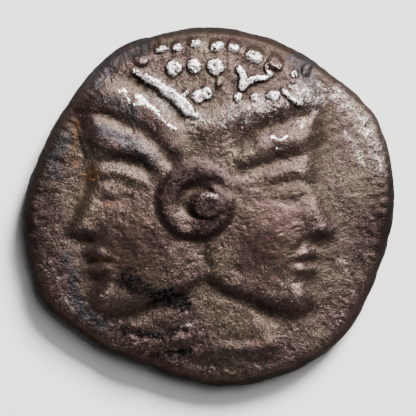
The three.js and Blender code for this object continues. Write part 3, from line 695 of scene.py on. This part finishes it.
# small head in the square: a step inside its outline, domed, with a brow, a crest and an eye
def reverseHead(x, y, size):
    across, up = x / size, y / size
    depth = depthInside(lineThrough(reverse["outline"], closed=True), across, up)
    inside = smoothStep(-reverse["step"] * head["footShare"], reverse["step"], depth)
    swell = reverse["domeShare"] * (bell(np.hypot(across, up), reverse["domeSpread"]) - 1)
    return reverse["relief"] * inside * (1 + swell + carvedLines(reverse["lines"], across, up))


# floor of the punched square as a grid, then rings over its wall and out over the flat land
def lowerFace(turn):
    cells = blank["faceCells"] // 2
    reach = min(blank["width"], blank["height"]) / 2 - blank["lowerRound"] - reverse["land"]
    mouth = reach * math.sqrt(2)
    floor = mouth - 2 * reverse["draft"]
    row, column = np.mgrid[0 : cells + 1, 0 : cells + 1]
    x, y = (column / cells - 0.5) * floor, (row / cells - 0.5) * floor
    rise = reverseHead(x, y, reverse["headShare"] * floor) + unevenness(x, y, np.zeros(x.shape))
    z = np.maximum(reverse["depth"] - rise, reverse["leastFloor"])
    c, s = math.cos(math.radians(reverse["turn"])), math.sin(math.radians(reverse["turn"]))
    points = np.stack([x * c - y * s, x * s + y * c, z], -1).reshape(-1, 3)
    edge = points[gridBorder(cells)]
    rings = []
    landDepth, landCell, landSeed = wear["land"]
    for t in np.linspace(0, 1, blank["wallRings"] + 1)[1:]:
        wide = edge[:, :2] * (1 + t * (mouth / floor - 1))
        rings.append(np.column_stack([wide, edge[:, 2] * (1 - smoothStep(0, 1, t))]))
    radius = outlineRadius(turn) - blank["lowerRound"]
    outer = np.stack([radius * np.cos(turn), radius * np.sin(turn)], 1)
    for t in np.linspace(0, 1, blank["landRings"] + 1)[1:-1]:
        flat = rings[blank["wallRings"] - 1][:, :2] * (1 - t) + outer * t
        worn = landDepth * layeredNoise(*flat.T, landCell, landSeed) * math.sin(math.pi * t)
        rings.append(np.column_stack([flat, np.clip(worn, 0, None)]))
    return points, rings[::-1], (softened(z, wear["fineRounds"]) - z).ravel()


# painted shade of the coin, and the dark rounded side, partly soil and partly painted shade: places and
# spreads in mm, marks in mm or in shares of the radius
shadeAndEdgeDirt = {
    # least share low on the side, and the heights between which it grows to one
    "wallLeast": 0.4,
    "wallUp": (0.2, 0.6),
    "sideMarks": (0.94, 0.99),
    # painted shade on the left and right flanks, fading out below and above
    "flankShare": 0.8,
    "flankMarks": (0.7, 0.95),
    "flankLow": (-4, 0),
    "flankHigh": (6, 1.5),
    # painted shade, darker downwards and a little to the right
    "slopeShare": 0.24,
    "slopeMarks": (4, -5),
    "slopeTilt": 0.3,
    # a darker patch on the crown, and painted shade on the upper rim
    "crownShare": 0.08,
    "crownUp": 4,
    "crownSize": (2.4, 0.9),
    "brimShare": 0.45,
    "brimMarks": (0.87, 0.93),
    "brimUp": (3.4, 4.8),
    # painted lit patch on the right rim, with less painted shade, and the shares that it takes from the
    # side and the flank
    "litPatchAt": (4.6, 2.4),
    "litPatchSpread": 1.6,
    "litPatchSide": 0.6,
    "litPatchFlank": 0.8,
}


# dark side, partly soil and partly painted shade: a step towards the outline; shade: painted shade of
# slope, flanks and brim, and a darker crown patch, added by their shares
def edgeMasks(x, y, z):
    part = shadeAndEdgeDirt
    share = np.hypot(x, y) / outlineRadius(np.arctan2(y, x))
    wall = part["wallLeast"] + (1 - part["wallLeast"]) * smoothStep(*part["wallUp"], z)
    litPatchX, litPatchY = part["litPatchAt"]
    litPatch = bell(np.hypot(x - litPatchX, y - litPatchY), part["litPatchSpread"])
    flank = wall * smoothStep(*part["flankMarks"], share) * x**2 / (x**2 + y**2 + 1e-9)
    flank *= smoothStep(*part["flankLow"], y) * smoothStep(*part["flankHigh"], y)
    flank *= 1 - part["litPatchFlank"] * litPatch
    slope = smoothStep(*part["slopeMarks"], y - part["slopeTilt"] * x)
    crownWide, crownHigh = part["crownSize"]
    crown = bell(np.hypot(x / crownWide, (y - part["crownUp"]) / crownHigh), 1)
    brim = smoothStep(*part["brimMarks"], share) * smoothStep(*part["brimUp"], y)
    shade = part["slopeShare"] * slope + part["flankShare"] * flank
    shade += part["crownShare"] * crown + part["brimShare"] * brim
    side = wall * smoothStep(*part["sideMarks"], share) * (1 - part["litPatchSide"] * litPatch)
    return {"side": side, "shade": shade}


# closed mesh of the coin: struck face, side rings, half as many points below, land, wall and floor
def coinSurface():
    cells = blank["faceCells"]
    count = 4 * cells
    # the rings start where the border of the grid does, at its lower left corner
    turn = math.radians(225) + np.arange(count) * 2 * math.pi / count
    topPoints, masks = struckFace()
    points, quads, ring = [topPoints], [gridQuads(cells)], gridBorder(cells)
    used = len(topPoints)
    for made in sideRings(turn, topPoints[ring][:, 2]):
        following = used + np.arange(count)
        quads.append(ringQuads(ring, following))
        points.append(made)
        ring, used = following, used + count
    floorPoints, rings, floorFine = lowerFace(turn[::2])
    triangles = halvingTriangles(ring, used + np.arange(count // 2))
    ring = used + np.arange(count // 2)
    for i, made in enumerate(rings):
        if i:
            quads.append(ringQuads(ring, ring + count // 2))
            ring = ring + count // 2
        points.append(made)
        used += count // 2
    floorStart = used
    quads.append(ringQuads(ring, floorStart + gridBorder(cells // 2)))
    quads.append(floorStart + gridQuads(cells // 2)[:, ::-1])
    points.append(floorPoints)
    points = np.concatenate(points)
    x, y, z = points.T
    padded = edgeMasks(x, y, z)
    for name, mask in masks.items():
        padded[name] = np.concatenate([mask, np.zeros(len(points) - len(mask))])
    padded["fine"][floorStart:] = floorFine
    low, high = np.array(cadLow) / mm, np.array(cadHigh) / mm
    return np.clip(points, low, high), quads, triangles, padded


# edge of the stains: strength in half widths, cell in mm and seed of each noise, marks of the fade
stainEdge = {
    "noises": ((0.45, 0.3, 37), (0.5, 0.11, 59)),
    "solid": 0.5,
    "gone": 1.4,
    "soft": ("sheen", "ochre"),
    "upMarks": (0.5, 0.8),
}


# shares of each stain at each point: full inside its half width, with a ragged edge
def stainMasks(x, y, z):
    ragged = np.zeros(x.shape)
    for strength, cell, seed in stainEdge["noises"]:
        ragged += strength * layeredNoise(x, y, cell, seed)
    masks = {}
    for name, lines in stains.items():
        mask = np.zeros(x.shape)
        solid = 0 if name in stainEdge["soft"] else stainEdge["solid"]
        for half, points in lines:
            away = distanceTo(lineThrough(points), x, y) / half
            mask = np.maximum(mask, 1 - smoothStep(solid, stainEdge["gone"], away + ragged))
        masks[name] = mask * smoothStep(*stainEdge["upMarks"], z)
    return masks


# puts points in mm, faces and a value for each point into a mesh object
def meshPiece(name, points, faces, masks):
    mesh = bpy.data.meshes.new(name)
    mesh.from_pydata((points * mm).tolist(), [], faces)
    for label, mask in masks.items():
        mesh.attributes.new(label, "FLOAT", "POINT").data.foreach_set("value", mask.astype(np.float32))
    mesh.shade_smooth()
    piece = bpy.data.objects.new(name, mesh)
    bpy.context.scene.collection.objects.link(piece)
    return piece


# one socket of a node tree: an operator adds a Math node, and node() adds any other
class Wire:
    def __init__(self, tree, socket=None):
        self.tree = tree
        self.socket = socket

    def node(self, kind, settings, sockets, output=0):
        made = self.tree.nodes.new(kind)
        for name, value in settings.items():
            setattr(made, name, value)
        for name, value in sockets.items():
            if isinstance(value, Wire):
                self.tree.links.new(made.inputs[name], value.socket)
            else:
                made.inputs[name].default_value = value
        return Wire(self.tree, made.outputs[output] if made.outputs else None)

    def math(self, operation, *values):
        return self.node("ShaderNodeMath", {"operation": operation}, dict(enumerate(values)))

    def __add__(self, other):
        return self.math("ADD", self, other)

    def __radd__(self, other):
        return self.math("ADD", other, self)

    def __sub__(self, other):
        return self.math("SUBTRACT", self, other)

    def __rsub__(self, other):
        return self.math("SUBTRACT", other, self)

    def __mul__(self, other):
        return self.math("MULTIPLY", self, other)

    def __rmul__(self, other):
        return self.math("MULTIPLY", other, self)

    # zero below the first mark and one above the second, smooth between
    def between(self, low, high):
        sockets = {"Value": self, "From Min": low, "From Max": high}
        return self.node("ShaderNodeMapRange", {"interpolation_type": "SMOOTHSTEP"}, sockets)

    # mixes two colours by this value
    def blend(self, first, second):
        sockets = {0: self, 6: first, 7: second}
        return self.node("ShaderNodeMix", {"data_type": "RGBA"}, sockets, output=2)

    # brightens or darkens a colour by this value
    def shade(self, colour):
        return self.node("ShaderNodeVectorMath", {"operation": "SCALE"}, {0: colour, "Scale": self})


# sRGB numbers from 0 to 255 as a linear colour, by a power of 2.2
def tone(red, green, blue):
    return tuple((value / 255) ** 2.2 for value in (red, green, blue)) + (1,)


silver = {
    "mauve": tone(92, 75, 72),
    "edgeTone": tone(120, 108, 100),
    # colours laid over it, and the greatest share of each
    "olive": (tone(90, 78, 70), 1),
    "russet": (tone(88, 65, 59), 0.5),
    "char": (tone(50, 41, 40), 0.82),
    "soil": (tone(34, 26, 21), 0.9),
    # dark soil on the rounded side, partly painted shade
    "sideSoilAndShade": (tone(34, 26, 21), 1),
    "worn": (tone(132, 114, 109), 0.22),
    "bareTone": (tone(244, 236, 232), 1),
    "sheenTone": (tone(180, 168, 160), 1),
    "ochre": (tone(98, 84, 71), 0.4),
    "soot": (tone(20, 20, 22), 0.9),
    "rust": (tone(84, 60, 52), 0.35),
    "earth": (tone(120, 84, 54), 0.5),
    "slate": (tone(62, 66, 72), 0.5),
    # values of the mesh that the material reads: stains in the order of their layers, and the rest
    "stains": ("ochre", "soot", "rust", "earth", "slate"),
    "masks": ("fine", "broad", "cheek", "ornament", "side", "shade", "dots", "ridge", "bare", "sheen"),
    # size in mm, roughness, twist and detail
    "noises": {
        "cloud": (1.3, 0.5, 0, 4),
        "fleck": (0.3, 0.6, 0, 4),
        "crinkle": (0.16, 0.6, 1.5, 4),
        "speck": (0.06, 0.65, 0, 4),
        "curl": (0.22, 0.5, 2, 1),
    },
    # fine curling lines where a smooth noise passes its middle value
    "veinMarks": (0.05, 0),
    # values made of others: weight of each, start value, and the marks that the sum is spread between
    "mixtures": {
        # wear and dirt by height, patches of tint
        "proud": ({"fine": 25, "broad": 4, "speck": 2}, 0, (0.3, 1.6)),
        "low": ({"fine": -18, "broad": -4, "fleck": 1.5}, 0, (0.1, 1.3)),
        "hollow": ({"broad": -9, "fleck": 1}, 0, (0, 0.8)),
        "clouded": ({"cloud": 0.85, "fleck": 0.15}, 0, (-0.1, 0.12)),
        "reddened": ({"fleck": 1}, 0, (-0.2, 0.05)),
        "dirtAndShade": ({"fleck": -0.7}, 0.65, ()),
        "stained": ({"speck": 3, "crinkle": 2}, 1, ()),
        # grain and light of the colour
        "glint": ({"speck": 0.6, "crinkle": 0.4}, 0, (0.02, 0.16)),
        "grain": ({"speck": 1.3, "glint": 0.5, "vein": 0.2}, 0, ()),
        "rugged": ({"cheek": -0.5, "shade": -0.5}, 1, ()),
        "mottle": ({"fleck": 0.8, "cloud": 0.7}, 0.77, ()),
        "lit": ({"shade": -0.75}, 1, ()),
        "sideLit": ({"side": -0.5}, 1, ()),
        # painted sheen, painted glints and bare silver
        "shimmer": ({"speck": 1.8, "crinkle": 1.5, "vein": 0.2}, 0.18, ()),
        "scattered": ({"fleck": 1}, 0, (-0.02, 0.12)),
        "open": ({"shade": 1}, 0, (0.25, 0.1)),
        "bareAndGlint": ({"dots": 1, "ridge": 1, "bare": 1, "sheen": 0.32, "crestGlint": 1}, 0, ()),
        "sparkle": ({"speck": 4.5, "crinkle": 2.5}, 0.75, ()),
        "gleam": ({"sparkling": 1, "low": -0.4}, 0, (0.3, 0.65)),
        # values of the shader
        "roughness": ({"speck": 0.6, "gleam": -0.05, "low": 0.2, "side": 0.4}, 0.31, ()),
        "metallic": ({"gleam": -0.2, "low": -0.3, "soot": -0.3, "side": -0.6}, 0.85, ()),
        "crinkled": ({"crinkle": 0.7, "speck": 1}, 0.85, ()),
        "crisp": ({"cheek": -0.25}, 0.5, ()),
        "height": ({"relief": 1, "vein": 0.1}, 0, ()),
    },
    "bumpDepth": 0.042,
    "specular": 0.05,
}


# patina, dirt, stains, bare silver, painted shade, painted sheen and painted glints laid over each
# other by noises and by the masks of the mesh
def silverMaterial():
    material = bpy.data.materials.new("worn_silver")
    material.use_nodes = True
    tree = material.node_tree
    tree.nodes.clear()
    start, wires = Wire(tree), {}
    place = start.node("ShaderNodeTexCoord", {}, {}, output="Object")
    for name, (size, rough, twist, detail) in silver["noises"].items():
        sockets = {"Vector": place, "Scale": 1 / (size * mm), "Detail": detail}
        sockets.update({"Roughness": rough, "Distortion": twist})
        wires[name] = start.node("ShaderNodeTexNoise", {}, sockets) - 0.5
    for name in silver["masks"] + silver["stains"]:
        wires[name] = start.node("ShaderNodeAttribute", {"attribute_name": name}, {}, output="Fac")

    # start value plus the named wires by their weights, kept as a wire of its own
    def mixture(name):
        weights, total, marks = silver["mixtures"][name]
        for part, weight in weights.items():
            total = total + weight * wires[part]
        wires[name] = total.between(*marks) if marks else total
        return wires[name]

    # one colour over another by a share
    def laid(name, colour, share):
        over, most = silver[name]
        return (share * most).blend(colour, over)

    curl, cheek, ornament, side = (wires[name] for name in ("curl", "cheek", "ornament", "side"))
    vein = curl.math("ABSOLUTE", curl).between(*silver["veinMarks"]) * (1 - cheek)
    wires["vein"] = vein
    # worn where the metal stands proud, dirty where it lies low
    proud, low = mixture("proud"), mixture("low")
    colour = laid("olive", silver["mauve"], mixture("clouded"))
    colour = laid("russet", colour, cheek * mixture("reddened"))
    colour = laid("olive", colour, mixture("hollow"))
    colour = laid("soil", colour, low)
    colour = laid("char", colour, ornament)
    # dark soil on the rounded side, partly painted shade
    colour = laid("sideSoilAndShade", colour, side * mixture("dirtAndShade"))
    colour = laid("worn", colour, proud * (1 - ornament))
    stained = mixture("stained")
    for name in silver["stains"]:
        colour = laid(name, colour, wires[name] * stained)
    mixture("glint")
    brightness = mixture("grain") * mixture("rugged") + mixture("mottle")
    # painted shade: darker on the slope, flanks, upper rim, crown patch and rounded side
    colour = (brightness * mixture("lit") * mixture("sideLit")).shade(colour)
    # painted sheen on lighter patches, partly worn silver, kept off the rounded side
    wires["sheen"] = wires["sheen"] * (1 - side)
    colour = laid("sheenTone", colour, wires["sheen"] * mixture("shimmer"))
    # bare silver on dots, bands and marks, painted sheen, and painted glints on the veins of what
    # stands proud
    wires["crestGlint"] = vein * proud * mixture("scattered") * (1 - ornament) * mixture("open")
    wires["sparkling"] = mixture("bareAndGlint") * mixture("sparkle")
    colour = laid("bareTone", colour, mixture("gleam"))
    wires["relief"] = mixture("crinkled") * mixture("crisp")
    sockets = {"Strength": 1, "Distance": silver["bumpDepth"] * mm, "Height": mixture("height")}
    normal = start.node("ShaderNodeBump", {}, sockets)
    sockets = {"Base Color": colour, "Metallic": mixture("metallic"), "Roughness": mixture("roughness")}
    sockets.update({"Normal": normal, "Specular IOR Level": silver["specular"]})
    sockets["Specular Tint"] = silver["edgeTone"]
    surface = start.node("ShaderNodeBsdfPrincipled", {}, sockets)
    start.node("ShaderNodeOutputMaterial", {}, {"Surface": surface})
    return material


# fills a mesh object with the coin, and stands it for the frame's node
def makeCoin():
    points, quads, triangles, masks = coinSurface()
    masks.update(stainMasks(*points.T))
    faces = np.concatenate(quads).tolist() + triangles.tolist()
    coin = meshPiece("coin_surface", points, faces, masks)
    coin.data.materials.append(silverMaterial())
    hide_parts("coin")
    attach(coin, "root")
    print("coin:", len(points), "points,", sum(len(face) - 2 for face in faces), "triangles")


# floor and lamps in m; camera in mm, with the width that it sees at the level of the waist
studio = {
    "floorSize": 2,
    "floorGap": 0.00002,
    "floorTone": (0.8, 0.79, 0.77, 1),
    "floorRoughness": 0.9,
    "worldTone": (0.75, 0.78, 0.85, 1),
    "worldStrength": 0.07,
    "keyFrom": (0.45, 0.8, 0.8),
    "keyDistance": 0.4,
    "keySize": 0.13,
    "keyPower": 6.9,
    "fillFrom": (0.3, 0.3, 1),
    "fillDistance": 0.5,
    "fillSize": 0.25,
    "fillPower": 1.1,
    "viewWidth": 12.268,
    "cameraHeight": 140,
    "cameraShift": (-0.0147, -0.0295),
    "clipStart": 1,
}


# square of even colour under the coin
def makeFloor():
    material = bpy.data.materials.new("floor_paper")
    material.use_nodes = True
    surface = material.node_tree.nodes["Principled BSDF"]
    surface.inputs["Base Color"].default_value = studio["floorTone"]
    surface.inputs["Roughness"].default_value = studio["floorRoughness"]
    reach = studio["floorSize"] / 2
    mesh = bpy.data.meshes.new("floor")
    corners = [(-reach, -reach), (reach, -reach), (reach, reach), (-reach, reach)]
    mesh.from_pydata([(x, y, -studio["floorGap"]) for x, y in corners], [], [(0, 1, 2, 3)])
    mesh.materials.append(material)
    floor = bpy.data.objects.new("floor", mesh)
    bpy.context.scene.collection.objects.link(floor)


# square lamp at a distance in a direction, turned to the coin
def makeLamp(name, towards, distance, size, power):
    data = bpy.data.lights.new(name, "AREA")
    data.size = size
    data.energy = power
    lamp = bpy.data.objects.new(name, data)
    direction = np.array(towards) / np.linalg.norm(towards)
    lamp.location = direction * distance
    across, up = math.atan2(direction[1], direction[0]), math.acos(direction[2])
    lamp.rotation_euler = (0, up, across)
    bpy.context.scene.collection.objects.link(lamp)


# even dim light from all round, a key lamp and a weak fill
def makeStudio():
    world = bpy.data.worlds.new("studio")
    world.use_nodes = True
    background = world.node_tree.nodes["Background"]
    background.inputs["Color"].default_value = studio["worldTone"]
    background.inputs["Strength"].default_value = studio["worldStrength"]
    bpy.context.scene.world = world
    for name in ("key", "fill"):
        makeLamp(name, *(studio[name + part] for part in ("From", "Distance", "Size", "Power")))


# looks straight down; the angle of view takes in the photo's width at the level of the waist
def makeCamera():
    data = bpy.data.cameras.new("camera")
    data.type = "PERSP"
    data.sensor_fit = "HORIZONTAL"
    distance = studio["cameraHeight"] - blank["waistLevel"]
    data.angle = 2 * math.atan(studio["viewWidth"] / 2 / distance)
    data.clip_start = studio["clipStart"] * mm
    camera = bpy.data.objects.new("camera", data)
    x, y = studio["cameraShift"]
    camera.location = (x * mm, y * mm, studio["cameraHeight"] * mm)
    bpy.context.scene.collection.objects.link(camera)
    bpy.context.scene.camera = camera


makeCamera()
makeCoin()
makeFloor()
makeStudio()
print("studio set")
